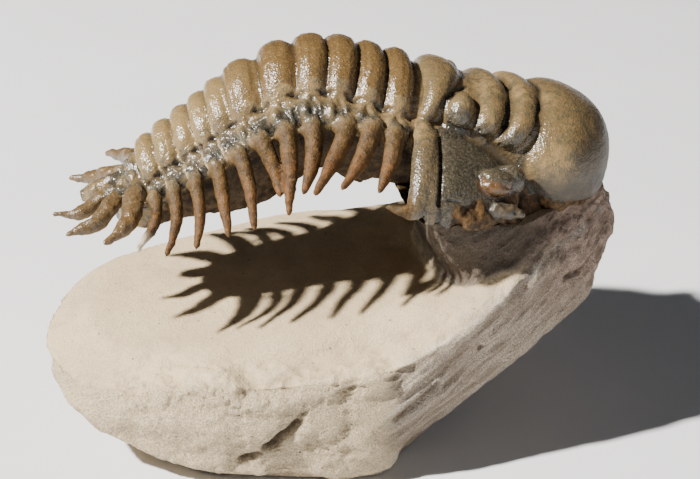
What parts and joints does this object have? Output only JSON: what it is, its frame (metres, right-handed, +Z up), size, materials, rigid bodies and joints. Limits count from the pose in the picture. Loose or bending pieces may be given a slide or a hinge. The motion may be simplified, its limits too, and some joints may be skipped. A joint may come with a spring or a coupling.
{
  "type": "trilobite fossil specimen",
  "caption": "Spiny trilobite fossil prepared free of its rock, its body arching in the air over the pale limestone block that still holds its head.",
  "frame": {"origin": "on the surface the block stands on, under the middle of the whole object's box", "axes": "+X from the tail to the head along the animal, +Z up, the camera of the picture on the -Y side"},
  "size_m": [0.0716, 0.049, 0.0492],
  "materials": {
    "fossil_shell": "varnished ochre-brown calcite shell, darker grey-green in its furrows, redder spines",
    "limestone": "matt pale grey-beige limestone, smooth on top, sandy and striated on its sides"
  },
  "bodies": {
    "root": {"trilobite": "fossil_shell", "matrix": "limestone"}
  },
  "joints": []
}
